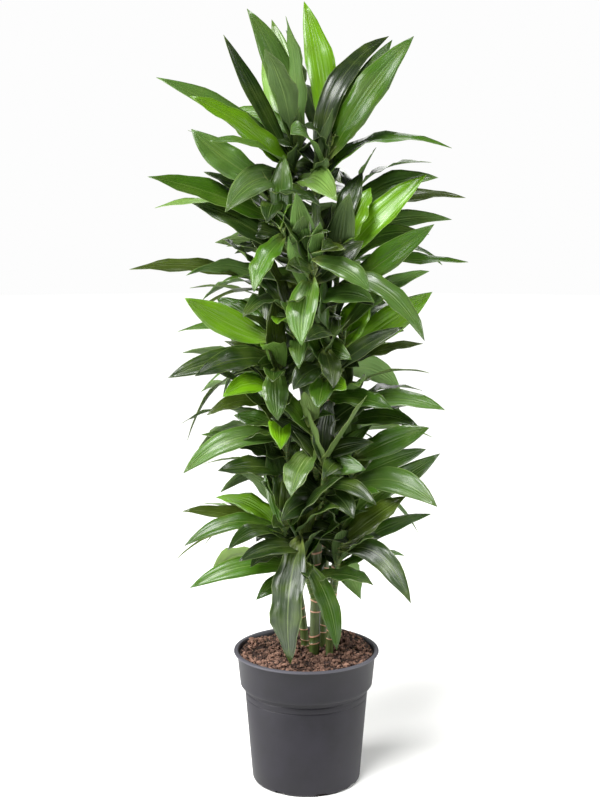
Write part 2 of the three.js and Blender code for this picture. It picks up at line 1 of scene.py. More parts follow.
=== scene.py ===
# A corn plant in its nursery pot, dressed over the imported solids. Metres, +Z up, and the
# plant's front faces -Y. The sections follow the plant as it is potted up: the pot, the soil,
# the canes set in it, the leafy shoots that grow from them, and then the studio.
import math
import random

import bmesh
import bpy
from mathutils import Matrix, Vector, kdtree, noise


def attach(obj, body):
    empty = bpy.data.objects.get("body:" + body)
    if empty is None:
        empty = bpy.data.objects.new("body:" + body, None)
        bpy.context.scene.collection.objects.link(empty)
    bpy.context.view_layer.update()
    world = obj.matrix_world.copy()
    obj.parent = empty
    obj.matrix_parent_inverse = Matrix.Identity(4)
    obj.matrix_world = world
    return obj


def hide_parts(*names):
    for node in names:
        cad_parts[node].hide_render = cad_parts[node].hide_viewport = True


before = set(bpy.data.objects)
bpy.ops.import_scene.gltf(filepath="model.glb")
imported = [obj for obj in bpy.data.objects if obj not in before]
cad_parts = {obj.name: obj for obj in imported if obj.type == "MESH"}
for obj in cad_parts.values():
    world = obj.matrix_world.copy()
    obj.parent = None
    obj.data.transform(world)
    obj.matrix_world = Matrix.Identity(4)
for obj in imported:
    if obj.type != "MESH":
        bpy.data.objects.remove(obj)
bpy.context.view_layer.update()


# ---- nursery pot ----
# A 30 cm growing container: a rolled lip, a plain band to lift it by, a shoulder, two fine
# grooves, a body that narrows downwards and slots round the foot that let water out.
# Injection-moulded in one piece.
POT_LATHE_STEPS = 120
CREASE = math.radians(38)  # sharper edges than this stay crisp
# heights in metres over which the lip is painted paler: a painted highlight
PAINTED_LIP_HIGHLIGHT = (0.2712, 0.2735)
pot_outline = [  # radius and height in mm, up the outside from the underside and down the inside
    (0, 0), (101, 0), (105.5, 0.3), (109, 1.8), (111.2, 4.4), (112.2, 8),
    (125.9, 177.4), (125.5, 178.6), (124.9, 180), (125.6, 180.8), (126.3, 181.3),
    (127, 190.4), (126.6, 191.6), (126, 193), (126.7, 193.8), (127.4, 194.3),
    (127.9, 200.5), (128.6, 201.9), (130.5, 202.6), (134.6, 203.6), (136.4, 206), (137, 211),
    (143, 271), (143.6, 271.9), (147.4, 271.9), (149.2, 272.5), (150, 274.2), (149.4, 276.1),
    (147.6, 277), (143.4, 277), (141.6, 276.4), (140.7, 274.6), (134.6, 211), (133.6, 206),
    (128, 204.4), (125.7, 201), (110.6, 10), (109, 5), (106, 4), (0, 4),
]


def lathe(outline, steps, name):
    """A closed body turned round the Z axis from an outline in millimetres."""
    turned = bmesh.new()
    points = [turned.verts.new((radius / 1000, 0, height / 1000)) for radius, height in outline]
    line = [turned.edges.new(ends) for ends in zip(points, points[1:])]
    bmesh.ops.spin(turned, geom=points + line, cent=(0, 0, 0), axis=(0, 0, 1), dvec=(0, 0, 0),
                   angle=2 * math.pi, steps=steps, use_merge=True)
    bmesh.ops.remove_doubles(turned, verts=turned.verts, dist=1e-6)
    bmesh.ops.recalc_face_normals(turned, faces=turned.faces)
    return finished(turned, name)


def finished(mesh, name):
    """Puts a bmesh into the scene as one piece that stands in the pot's own place."""
    data = bpy.data.meshes.new(name)
    mesh.to_mesh(data)
    mesh.free()
    data.shade_smooth()
    piece = bpy.data.objects.new(name, data)
    bpy.context.scene.collection.objects.link(piece)
    return piece


def applied(piece):
    """Keeps the shape that a piece's modifiers give it, and drops the modifiers."""
    bpy.context.view_layer.update()
    shaped = piece.evaluated_get(bpy.context.evaluated_depsgraph_get())
    piece.data = bpy.data.meshes.new_from_object(shaped)
    piece.modifiers.clear()


pot = lathe(pot_outline, POT_LATHE_STEPS, "nursery_pot")

DRAIN_SLOTS = 8
SLOT_SIZE = (0.026, 0.022, 0.0065)
SLOT_REACH = 0.1105
FIRST_SLOT = 0.35  # how far round the first one stands, as a share of the step to the next
UNDER_THE_FOOT = 0.0005  # each cutter starts this far below the pot, so that it cuts right through
slots = bmesh.new()
for number in range(DRAIN_SLOTS):
    slot = bmesh.ops.create_cube(slots, size=1)["verts"]
    bmesh.ops.scale(slots, verts=slot, vec=SLOT_SIZE)
    bmesh.ops.translate(slots, verts=slot, vec=(SLOT_REACH, 0, SLOT_SIZE[2] / 2 - UNDER_THE_FOOT))
    bearing = 2 * math.pi * (number + FIRST_SLOT) / DRAIN_SLOTS
    bmesh.ops.rotate(slots, verts=slot, cent=(0, 0, 0), matrix=Matrix.Rotation(bearing, 3, "Z"))
slot_cutter = finished(slots, "slot_cutter")
cut = pot.modifiers.new("drain_slots", "BOOLEAN")
cut.object = slot_cutter
cut.solver = "EXACT"
applied(pot)
bpy.data.objects.remove(slot_cutter)
pot.data.set_sharp_from_angle(angle=CREASE)


def linear(hex_colour):
    """An sRGB hex value as the linear colour that a shader takes."""
    shares = [int(hex_colour[i:i + 2], 16) / 255 for i in (1, 3, 5)]
    return [s / 12.92 if s <= 0.04045 else ((s + 0.055) / 1.055) ** 2.4 for s in shares] + [1]


def add(tree, kind, inputs=None, **settings):
    """Adds a node: its settings, and for each of its inputs a value or the output to link."""
    node = tree.nodes.new("ShaderNode" + kind)
    for name, value in settings.items():
        setattr(node, name, value)
    for name, value in (inputs or {}).items():
        if isinstance(value, bpy.types.NodeSocket):
            tree.links.new(value, node.inputs[name])
        else:
            node.inputs[name].default_value = value
    return node


plastic = bpy.data.materials.new("moulded_polypropylene")
# Polypropylene from a fine-textured mould: a satin skin that softens every reflection, a
# little cloudy where it has been handled and watered, and a painted highlight along the lip.
plastic.use_nodes = True
tree = plastic.node_tree
skin = tree.nodes["Principled BSDF"]
place = add(tree, "TexCoord").outputs["Object"]
# Clouds about 7 cm across, and the mould's grain, drawn coarser than real, at 1 mm, to show.
handling = add(tree, "TexNoise", {"Vector": place, "Scale": 14, "Detail": 4, "Roughness": 0.6})
grain = add(tree, "TexNoise", {"Vector": place, "Scale": 900, "Detail": 1})
dusty = add(tree, "MapRange", {"Value": handling.outputs["Fac"], "From Min": 0.35,
                               "From Max": 0.75})
colour = add(tree, "MixRGB", {"Fac": dusty.outputs["Result"], "Color1": linear("#17161b"),
                              "Color2": linear("#211f27")})
height = add(tree, "SeparateXYZ", {"Vector": place}).outputs["Z"]
# A painted highlight: above these heights the lip's colour is mixed towards a paler grey, standing
# for the light that the lip catches.
lip_highlight_mask = add(tree, "MapRange", {"Value": height, "From Min": PAINTED_LIP_HIGHLIGHT[0],
                                "From Max": PAINTED_LIP_HIGHLIGHT[1], "To Max": 0.8})
worn = add(tree, "MixRGB", {"Fac": lip_highlight_mask.outputs["Result"], "Color1": colour.outputs["Color"],
                            "Color2": linear("#4e4d54")})
gloss = add(tree, "MapRange", {"Value": handling.outputs["Fac"], "To Min": 0.46, "To Max": 0.6})
texture = add(tree, "Bump", {"Height": grain.outputs["Fac"], "Distance": 0.0001, "Strength": 0.25})
tree.links.new(worn.outputs["Color"], skin.inputs["Base Color"])
tree.links.new(gloss.outputs["Result"], skin.inputs["Roughness"])
tree.links.new(texture.outputs["Normal"], skin.inputs["Normal"])
skin.inputs["IOR"].default_value = 1.49
skin.inputs["Specular IOR Level"].default_value = 0.3
pot.data.materials.append(plastic)
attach(pot, "root")
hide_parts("pot")


# ---- potting soil ----
# Composted bark and coir, poured in round the roots nearly to the brim and a little heaped
# at the back right. It is loose: a lumpy bed, with chips and crumbs lying over it.
SOIL_LEVEL = 0.268
SOIL_RADIUS = 0.1388
SOIL_RINGS = 26
SOIL_LATHE_STEPS = 110
LUMP_HEIGHT = 0.0026
HEAP = (0.075, 0.085)
HEAP_SPREAD = 0.048
HEAP_HEIGHT = 0.013
CRUMB_HEIGHT = 0.0022
HANDFULS = 24
CHIPS_IN_A_HANDFUL = 90
CHIP_LENGTH = (0.004, 0.016)


def soil_top(x, y):
    """The height of the bed: lumps of a few centimetres, the heap, and crumbs all over."""
    lumps = math.sin(x / 0.011 + 1.3 * math.sin(y / 0.017))
    lumps *= math.cos(y / 0.009 + 1.1 * math.sin(x / 0.014))
    heap = math.exp(-((x - HEAP[0]) ** 2 + (y - HEAP[1]) ** 2) / (2 * HEAP_SPREAD ** 2))
    crumbs = noise.noise(Vector((x, y, 0)) * 190) * CRUMB_HEIGHT
    return SOIL_LEVEL + LUMP_HEIGHT * lumps + HEAP_HEIGHT * heap + crumbs


soil_outline = [(0, 4.3), (108.3, 4.3), (124.7, 202), (133.7, 211)]  # radius and height in mm
soil_outline += [(1000 * SOIL_RADIUS * (1 - ring / SOIL_RINGS), 1000 * SOIL_LEVEL)
                 for ring in range(SOIL_RINGS + 1)]
soil = lathe(soil_outline, SOIL_LATHE_STEPS, "potting_soil")
for vertex in soil.data.vertices:
    if vertex.co.z > SOIL_LEVEL - 1e-4:
        vertex.co.z = soil_top(vertex.co.x, vertex.co.y)

scatter = random.Random(11)
chips = bmesh.new()
for handful in range(HANDFULS):  # a few at a time, as an operator slows down on a larger mesh
    loose = bmesh.new()
    shade = loose.verts.layers.float.new("shade")
    for number in range(CHIPS_IN_A_HANDFUL):
        length = CHIP_LENGTH[0] + (CHIP_LENGTH[1] - CHIP_LENGTH[0]) * scatter.random() ** 2.5
        reach = (SOIL_RADIUS - length / 2) * math.sqrt(scatter.random())
        bearing = 2 * math.pi * scatter.random()
        spot = Vector((reach * math.cos(bearing), reach * math.sin(bearing), 0))
        chip = bmesh.ops.create_icosphere(loose, subdivisions=1, radius=0.5)["verts"]
        tone = scatter.random()
        for vert in chip:
            vert.co *= scatter.uniform(0.65, 1.2)
            vert[shade] = tone
        size = (length, length * scatter.uniform(0.4, 0.9), length * scatter.uniform(0.35, 0.75))
        bmesh.ops.scale(loose, verts=chip, vec=size)
        tilt = Matrix.Rotation(scatter.uniform(-0.9, 0.9), 3, "Y")
        turn = Matrix.Rotation(2 * math.pi * scatter.random(), 3, "Z")
        bmesh.ops.rotate(loose, verts=chip, cent=(0, 0, 0), matrix=turn @ tilt)
        spot.z = soil_top(spot.x, spot.y) + size[2] * scatter.uniform(-0.1, 0.6)
        bmesh.ops.translate(loose, verts=chip, vec=spot)
    poured = bpy.data.meshes.new("handful")
    loose.to_mesh(poured)
    loose.free()
    chips.from_mesh(poured)
    bpy.data.meshes.remove(poured)
bark_chips = finished(chips, "bark_chips")
bark_chips.data.shade_flat()

bark = bpy.data.materials.new("composted_bark_and_coir")
# Damp bark and coir: matt, with crumbs that run from tan to black-brown and painted shade in the
# hollows between them.
bark.use_nodes = True
tree = bark.node_tree
skin = tree.nodes["Principled BSDF"]
place = add(tree, "TexCoord").outputs["Object"]
crumb = add(tree, "TexNoise", {"Vector": place, "Scale": 260, "Detail": 3})  # 4 mm crumbs
patch = add(tree, "TexNoise", {"Vector": place, "Scale": 30, "Detail": 2})  # 3 cm damp patches
own = add(tree, "Attribute", attribute_name="shade").outputs["Fac"]
# Painted shade: the colour is darkest where the crumb noise is low, and that noise is also the
# bump's height, so the hollows between crumbs are painted dark.
mixed = add(tree, "Math", {0: crumb.outputs["Fac"], 1: own}, operation="ADD")
ramp = add(tree, "ValToRGB", {"Fac": mixed.outputs["Value"]})
ramp.color_ramp.elements[0].position = 0.4
ramp.color_ramp.elements[0].color = linear("#140b08")
ramp.color_ramp.elements[1].position = 1.0
ramp.color_ramp.elements[1].color = linear("#856555")
ramp.color_ramp.elements.new(0.62).color = linear("#432f27")
wet = add(tree, "MapRange", {"Value": patch.outputs["Fac"], "From Min": 0.45, "From Max": 0.7,
                             "To Max": 0.6})
damp = add(tree, "MixRGB", {"Fac": wet.outputs["Result"], "Color1": ramp.outputs["Color"],
                            "Color2": linear("#35211a")})
rough = add(tree, "Bump", {"Height": crumb.outputs["Fac"], "Distance": 0.003, "Strength": 0.8})
tree.links.new(damp.outputs["Color"], skin.inputs["Base Color"])
tree.links.new(rough.outputs["Normal"], skin.inputs["Normal"])
skin.inputs["Roughness"].default_value = 0.92
skin.inputs["IOR"].default_value = 1.45
for piece in (soil, bark_chips):
    piece.data.materials.append(bark)
    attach(piece, "root")
    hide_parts("soil")


# ---- canes ----
# Four fleshy stems of different heights, rooted in the soil. Each leaf that fell left a ring
# scar, a raised pinkish line every few centimetres round a green-brown skin.
CANES = {  # radius in mm, and points up the middle in cm: right, away, up
    "tall_cane": (10.5, [(1.5, -1, 18), (2, -1.5, 45), (2.8, -1.5, 72), (2.6, -1, 90),
                         (-0.5, -0.5, 106), (-1.8, -1, 120)]),
    "middle_cane": (8, [(3, 2.2, 18), (3.8, 3.2, 42), (5, 4.2, 72), (4.6, 3.6, 97)]),
    "left_cane": (8.5, [(0.4, 1.6, 18), (-0.6, 1.7, 32), (-3.4, 1.4, 52), (-5, 0.6, 76)]),
    "right_cane": (8, [(4.2, -1.6, 18), (5.2, -1.8, 36), (7, -1.6, 58)]),
}
CANE_RING = 0.026
SCAR_SLANT = 0.3
RING_DRIFT = 0.3  # the most that a scar strays from even spacing, as a share of it
CANE_SIDES = 16
CANE_SHOULDER = 0.97  # above this share of its length a cane draws in to its cut top
INTERNODE = [  # the way from one scar to the next, the share of the radius, and whether it is scar
    (0, 1.07, 1), (0.03, 1.06, 1), (0.07, 1.02, 0), (0.3, 0.99, 0), (0.7, 0.98, 0),
    (0.95, 1.02, 0),
]


def cane_point(path, along):
    """A spot up the middle of a cane: an even curve through its points, in metres."""
    last = len(path) - 1
    span = min(int(along * last), last - 1)
    part = along * last - span
    near, far = path[span], path[span + 1]
    before = path[span - 1] if span > 0 else 2 * near - far
    after = path[span + 2] if span + 2 <= last else 2 * far - near
    gaps = [math.sqrt((b - a).length) for a, b in ((before, near), (near, far), (far, after))]
    steady = (far - near) / gaps[1]
    leave = (near - before) / gaps[0] - (far - before) / (gaps[0] + gaps[1]) + steady
    arrive = steady - (after - near) / (gaps[1] + gaps[2]) + (after - far) / gaps[2]
    leave, arrive = leave * gaps[1], arrive * gaps[1]
    bend = -3 * near + 3 * far - 2 * leave - arrive
    swing = 2 * near - 2 * far + leave + arrive
    return near + leave * part + bend * part ** 2 + swing * part ** 3


def cane_radius(radius, along):
    """A cane's radius in metres: even, and a fifth less at its very top."""
    return radius * (1 - 0.2 * max(0, along - CANE_SHOULDER) / (1 - CANE_SHOULDER)) / 1000


def ringed_stem(name, middle_at, radius_at, ring_gap, sides):
    """A stem: one circle extruded upwards from ring to ring, with a ridge at each leaf scar."""
    steps = [middle_at(step / 40) for step in range(41)]
    rings = max(3, round(sum((b - a).length for a, b in zip(steps, steps[1:])) / ring_gap))
    stem = bmesh.new()
    scar = stem.verts.layers.float.new("scar")
    ring = bmesh.ops.create_circle(stem, cap_ends=True, segments=sides, radius=1)["verts"]
    edges = list(stem.edges)
    placed = Matrix()
    drift = [RING_DRIFT * math.sin(2.7 * number) for number in range(rings)] + [0]
    levels = [(number + part + drift[number] * (1 - part) + drift[number + 1] * part, swell, worn,
               number + round(part)) for number in range(rings) for part, swell, worn in INTERNODE]
    levels += [(rings, 1, 0, 0), (rings + 0.3, 0.3, 0, 0)]  # the top's edge, and its low dome
    for level, swell, worn, nearest in levels:
        along = min(1, level / rings)
        middle = middle_at(along)
        tangent = (middle_at(min(1, along + 0.01)) - middle_at(max(0, along - 0.01))).normalized()
        side = Vector((0, 1, 0)).cross(tangent).normalized()
        middle = middle + tangent * ring_gap * max(0, level - rings)
        radius = radius_at(along) * swell
        slant = SCAR_SLANT * math.sin(5 * nearest)
        target = Matrix((side * radius + tangent * slant * radius, tangent.cross(side) * radius,
                         tangent * radius)).transposed()
        target = Matrix.Translation(middle) @ target.to_4x4()
        if level > 0:
            grown = bmesh.ops.extrude_edge_only(stem, edges=edges)["geom"]
            ring = [part for part in grown if isinstance(part, bmesh.types.BMVert)]
            edges = [part for part in grown if isinstance(part, bmesh.types.BMEdge)]
        bmesh.ops.transform(stem, matrix=target @ placed.inverted(), verts=ring)
        placed = target
        for vert in ring:
            vert[scar] = worn
    bmesh.ops.edgeloop_fill(stem, edges=edges)
    bmesh.ops.recalc_face_normals(stem, faces=stem.faces)
    return finished(stem, name)


def stem_skin(name, green, tan, streak):
    """A living stem's skin: smooth and faintly waxy, with corky scars across it."""
    material = bpy.data.materials.new(name)
    material.use_nodes = True
    tree = material.node_tree
    skin = tree.nodes["Principled BSDF"]
    place = add(tree, "TexCoord").outputs["Object"]
    stretched = add(tree, "Mapping", {"Vector": place, "Scale": (1, 1, 0.12)}).outputs["Vector"]
    lines = add(tree, "TexNoise", {"Vector": stretched, "Scale": 420, "Detail": 3})  # 2 mm streaks
    blotch = add(tree, "TexNoise", {"Vector": place, "Scale": 38, "Detail": 3})  # 3 cm blotches
    scar = add(tree, "Attribute", attribute_name="scar").outputs["Fac"]
    base = add(tree, "MixRGB", {"Fac": blotch.outputs["Fac"], "Color1": linear(green),
                                "Color2": linear(streak)})
    dark = add(tree, "MixRGB", {"Fac": lines.outputs["Fac"], "Color1": base.outputs["Color"],
                                "Color2": linear("#22310f")})
    edge = add(tree, "MapRange", {"Value": scar, "From Min": 0.2, "From Max": 0.75})
    ringed = add(tree, "MixRGB", {"Fac": edge.outputs["Result"], "Color1": dark.outputs["Color"],
                                  "Color2": linear(tan)})
    fissure = add(tree, "Bump", {"Height": lines.outputs["Fac"], "Distance": 0.0005,
                                 "Strength": 0.5})
    tree.links.new(ringed.outputs["Color"], skin.inputs["Base Color"])
    tree.links.new(fissure.outputs["Normal"], skin.inputs["Normal"])
    skin.inputs["Roughness"].default_value = 0.42
    skin.inputs["IOR"].default_value = 1.45
    return material


cane_skin = stem_skin("dracaena_cane_bark", "#4b6a24", "#b98a72", "#5c5c30")
canes = {}
for name, (radius, points) in CANES.items():
    canes[name] = [Vector(point) / 100 for point in points]
    path = canes[name]
    cane = ringed_stem(name + "_bark", lambda along: cane_point(path, along),
                       lambda along: cane_radius(radius, along), CANE_RING, CANE_SIDES)
    cane.data.materials.append(cane_skin)
    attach(cane, "root")
    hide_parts(name)


# ---- leafy shoots ----
# Side shoots that broke from the canes, each a thin green stem with a rosette of strap leaves
# clasping it. A leaf is a leathery blade about a hand long, fluted lengthwise and glossy above,
# paler and duller below, and it bows outwards under its own weight.

# The habit of the leaves that the photograph doesn't show: lengths and widths in cm, rise and
# turn of the face in degrees, and how far they bow as a share of their length.
HABITS = {
    "outer": {"length": (17, 25), "width": (4, 5.8), "rise": (-25, 62), "arch": (0.08, 0.24),
              "turn": (10, 60)},
    "inner": {"length": (12, 18), "width": (3.8, 5.2), "rise": (0, 78), "arch": (0.04, 0.18),
              "turn": (25, 65)},
}
# For each shoot: the cane and the height on it where it leaves, in cm; its growing tip; the
# leaves that stand round the back and middle (habit, how many, bearing, spread); a letter of
# TONES for each other leaf, from the lowest up, small for a leaf with pale stripes; and a row
# for each of these leaves, of its tip and its width in cm, how far it bows, as a share of its
# length, and how many degrees its face is turned to the front.
SHOOTS = {
    "top_middle": (("tall_cane", 118), (-2.7, -1, 131), ("outer", 4, 90, 200), "PsGLSDGPSDP", [
        (5.5, -18, 119.5, 5.6, 0.16, 30), (-15, -17, 117.5, 5.6, 0.14, 55),
        (-14.5, -5, 135, 4, 0.05, 20), (-22, -10, 139, 5.6, 0.05, 60), (-29, -3, 143, 6, 0.06, 60),
        (-16, -3, 151, 3.9, 0, 60), (-4, -7, 154, 5.1, 0.05, 30), (-9, 12, 147.5, 4.7, 0.05, 30),
        (-11.5, -2, 156, 6, 0.08, 65), (-4, 3, 152, 5.1, 0.08, 30), (-7, 9, 155.5, 4.5, 0.03, 40),
    ]),
    "top_right": (("tall_cane", 113), (4.6, -4, 131.5), ("outer", 3, 60, 160), "DGGDSGGLS", [
        (5, -8, 137, 3.6, 0.05, 0), (28, -5, 129.5, 4.8, 0.24, 40), (11, 5, 134, 3.6, 0.1, 10),
        (16.5, 9, 152, 4.8, 0.22, 30), (-3, -14, 135, 4.8, 0.2, 45), (20, -8, 150, 6.5, 0.05, 78),
        (17, 4, 151, 4.7, 0.04, 50), (-0.5, 7, 158.5, 6.1, 0.02, 0), (7, -1, 145.5, 3.6, 0.02, 0),
    ]),
    "upper_left": (("tall_cane", 108), (-7.5, -8, 123), ("outer", 2, 120, 90), "PGDDDS", [
        (-30, 0, 118, 3.9, 0.12, 30), (-30, -12, 124, 5.8, 0.04, 60), (-20, -2, 125, 3.9, 0.05, 20),
        (-7.5, -16, 115.5, 4.3, 0.14, 0), (2.5, -14, 118.5, 4.3, 0.12, 30),
        (-22, -8, 133, 6, -0.05, 65),
    ]),
    "upper_right": (("middle_cane", 94), (6.5, -7, 113), ("outer", 1, 30, 60), "GDSLLD", [
        (24.5, -8, 115, 5.6, 0, 60), (8, -12, 121, 5.4, 0.03, 0), (22.5, -13, 93, 4.7, 0.14, 50),
        (23.5, -1, 124.5, 5.6, 0.03, 65), (12.5, -4, 122, 6.1, 0.03, 30),
        (11, 2, 125, 4.7, 0.04, 0),
    ]),
    "back_right": (("tall_cane", 101), (9, 8, 118.5), ("outer", 4, 60, 150), "GGSOSGG", [
        (33, 7, 107, 3.9, 0.02, 20), (28.5, 15, 106, 4.3, 0.16, 20), (30, 12, 115.5, 4.3, 0.09, 45),
        (31.5, 1, 120, 3.6, 0.14, 35), (26.5, 6, 124, 5.2, 0.16, 60),
        (25, 12, 123.5, 4.3, 0.22, 20), (14, 7, 130, 4.7, 0.03, 0),
    ]),
    "upper_front": (("tall_cane", 96), (1, -11, 108), ("inner", 5, -40, 260), "GGDgGS", [
        (-3.5, -17, 113, 2.8, -0.05, 0), (-2, -15, 121, 5.2, 0.04, 0), (5, -8, 119, 4.3, 0.04, 0),
        (-1, -17, 92.5, 6.5, 0.1, 0), (2.5, -10, 115.5, 3.6, 0.03, 0),
        (12, -15, 102.5, 4.8, 0.12, 45),
    ]),
    "left_front": (("tall_cane", 103), (-4.5, -10, 114.5), ("inner", 5, -40, 260), "DDDGL", [
        (-13.5, -6, 111, 3.9, 0.1, 20), (-22, -9, 119, 5.2, 0.05, 60),
        (-8, -15, 118.5, 4.7, 0.18, 0), (-10, -15, 102.5, 5, 0.12, 30),
        (0.5, -17, 116.5, 4.3, 0.25, 20),
    ]),
    "left_back": (("tall_cane", 92), (-9, 4, 105), ("outer", 3, 110, 120), "OODGGOO", [
        (-21, -3, 98.5, 2.8, 0.25, 0), (-23.5, 3, 102, 2.8, 0.1, 0), (-9.5, -8, 101, 4.3, 0.12, 30),
        (-21.5, 11, 99, 4.3, 0.2, 10), (-24, 8, 104.5, 3.9, 0.2, 0), (-35, -2, 106, 3.9, 0.06, 45),
        (-16.5, -2, 112, 4.7, 0.02, 35),
    ]),
    "middle_left": (("tall_cane", 80), (-7.5, -5, 93.5), ("outer", 1, 150, 60), "OSGDDGlG", [
        (-24.5, 5, 70.5, 3.8, 0.24, 10), (-21, 0, 81.5, 3.9, 0.22, 10),
        (-17.5, 9, 78.5, 4.3, 0.24, 10), (-21, -19, 87, 4.8, 0.08, 45),
        (-26.5, -14, 86, 5.2, 0.06, 50), (-13.5, 5, 89.5, 2.4, 0.1, 0),
        (-23.5, -10, 101, 6, -0.03, 70), (-18, 2, 100, 5.2, 0.02, 45),
    ]),
    "middle": (("tall_cane", 86), (-4, -8, 98.5), ("inner", 5, -40, 260), "SLD", [
        (-1.5, -16, 88, 3.9, 0.2, 0), (-5.5, -17, 96.5, 4.7, 0.16, 0),
        (-12, -18, 98, 4.3, 0.22, 30),
    ]),
    "middle_right": (("middle_cane", 80), (7.5, -4, 94), ("outer", 1, 60, 40), "SODLLGS", [
        (15.5, -12, 92.5, 3.9, 0.1, 30), (23, -4, 91.5, 3.4, 0.06, 20),
        (-0.5, -17, 92, 4.8, 0.16, 35), (25, -1, 101.5, 6, 0, 65), (12.5, 2, 101.5, 6, 0.02, 50),
        (20, 7, 99.5, 3.8, 0.06, 10), (24.5, 1, 105.5, 4.3, 0.12, 30),
    ]),
    "front": (("tall_cane", 76), (3.5, -11, 91), ("inner", 5, -40, 260), "LGDD", [
        (7.5, -16, 84, 3.9, 0.1, 30), (2, -16, 80.5, 4.8, 0.1, 20), (-2.6, -16, 84, 4.7, 0.1, 30),
        (5, -17, 84.5, 4.8, 0.1, 0),
    ]),
    "low_left_front": (("left_cane", 70), (-6, -9, 87), ("inner", 5, -40, 260), "LOLLS", [
        (-5, -16, 72.5, 4.7, 0.1, 0), (-19.5, -9, 78, 3.9, 0.16, 25),
        (-16, -15, 82.5, 4.5, 0.2, 40), (-8.5, -17, 92.5, 4.5, 0.3, 0),
        (-5.5, -15.5, 78, 5.2, 0.1, 0),
    ]),
    "low_left": (("left_cane", 60), (-4, -8, 76), ("outer", 2, 150, 60), "DODGSGP", [
        (-17, -17, 68.5, 4.8, 0.06, 50), (-20.5, -5, 67.5, 2.8, 0.08, 0),
        (-15.5, -8, 72.5, 4.7, 0.05, 40), (-21.5, 3, 72, 3.4, 0.05, 15),
        (-24, -12, 67, 4.8, 0.18, 50), (-14.5, -4, 78, 4.3, 0.05, 40), (-12, 1, 79, 2.8, 0.02, 0),
    ]),
    "low_middle": (("tall_cane", 62), (1, -10, 77), ("inner", 5, -40, 260), "sO", [
        (-3, -17, 63.5, 5.8, 0.1, 10), (-0.5, -12, 87, 3.9, 0.03, 0),
    ]),
    "low_right_back": (("middle_cane", 66), (8.5, -1, 82), ("outer", 1, 30, 50), "GPGDSGOO", [
        (14.5, 4, 70, 3.6, 0.25, 0), (25.5, 0, 72, 2.8, 0.1, 0), (22, -7, 75.5, 4.1, 0.12, 40),
        (22.5, 3, 79, 2.8, -0.03, 0), (27, -9, 79, 5.6, 0.12, 35), (10, -16, 81, 4.8, 0.16, 20),
        (13.5, 9, 82.5, 4.1, 0.1, 0), (24.5, -3, 85.5, 2.8, 0.12, 0),
    ]),
    "low_front": (("tall_cane", 54), (3.5, -10, 69), ("inner", 5, -40, 260), "DDOO", [
        (-5, -14, 58, 4.7, 0.12, 40), (9, -16, 59, 4.7, 0.12, 40), (-0.5, -12, 81, 4, 0.02, 0),
        (11.5, -14, 83, 5.6, 0.02, 15),
    ]),
    "low_right": (("right_cane", 53), (9.5, -5, 70.5), ("outer", 2, 60, 50), "GDSGDGG", [
        (28, 9, 67, 4.7, -0.04, 50), (10, -13, 61.5, 4.3, 0.1, 10), (25, -17, 61.5, 5.4, 0.15, 60),
        (24.5, 3, 69, 3.9, 0.03, 40), (3, -15, 66.5, 3.9, 0.2, 20), (24, -9, 75.5, 5.2, 0.03, 65),
        (10.5, 4, 71, 2.8, 0.03, 0),
    ]),
    "base_left": (("left_cane", 43.5), (-4.5, -9, 56), ("outer", 3, 100, 70), "DODOODLGDGD", [
        (-11.5, -10, 55, 5.2, 0.1, 30), (-27, -1, 46.5, 3.2, 0.26, 0),
        (6.5, -20, 62, 3.9, 0.14, 30), (-24.5, -12, 59, 4.3, 0.12, 25), (-21.5, 4, 48, 2.8, 0.3, 0),
        (-15, -21, 54, 4.8, 0.18, 30), (-18.5, -3, 58.5, 4.7, 0.16, 45),
        (-24, -5, 52.5, 3.9, 0.2, 30), (7, -17, 67.5, 5.2, 0.05, 45), (-9, -14, 68, 4.8, 0.03, 0),
        (-8.5, -6, 74.5, 5.6, 0.03, 0),
    ]),
    "base_front": (("tall_cane", 38.5), (-1, -8, 53), ("inner", 5, -40, 260), "GGGDD", [
        (-10, -10, 41, 3.9, 0.14, 60), (-23, -12, 44, 4.7, 0.12, 40), (6, -11, 31, 4.3, 0.08, 75),
        (-13, -18, 51.5, 4.3, 0.1, 40), (-3.2, -14, 29.2, 7.8, 0.2, 0),
    ]),
    "base_right": (("right_cane", 40), (7, -7, 56.5), ("outer", 2, 60, 60), "GDGDOGGD", [
        (19.5, -8, 49.5, 4.3, 0.12, 30), (13, -17, 55.5, 3.2, 0.08, 20), (26, 5, 55, 3.8, 0.05, 20),
        (20, -19, 43, 5, 0.22, 60), (19.5, -11, 62, 5.4, 0.02, 65), (21, 0, 63.5, 4.8, 0.12, 40),
        (13, 1, 65, 4.8, 0.02, 0), (9, -6, 63, 4.3, 0.02, 0),
    ]),
    "back_upper": (("middle_cane", 90), (-3, 11, 112), ("outer", 11, 20, 230), "", []),
    "back_middle": (("middle_cane", 74), (5, 12, 93), ("outer", 11, 0, 190), "", []),
    "back_left": (("left_cane", 66), (-9, 9, 82), ("outer", 10, 60, 170), "", []),
    "back_low": (("middle_cane", 52), (3, 12, 70), ("outer", 11, 20, 180), "", []),
    "back_base": (("middle_cane", 36), (9, 9, 54), ("outer", 9, 60, 100), "", []),
    "back_base_left": (("left_cane", 34), (-7, 9, 52), ("outer", 8, 50, 120), "", []),
}
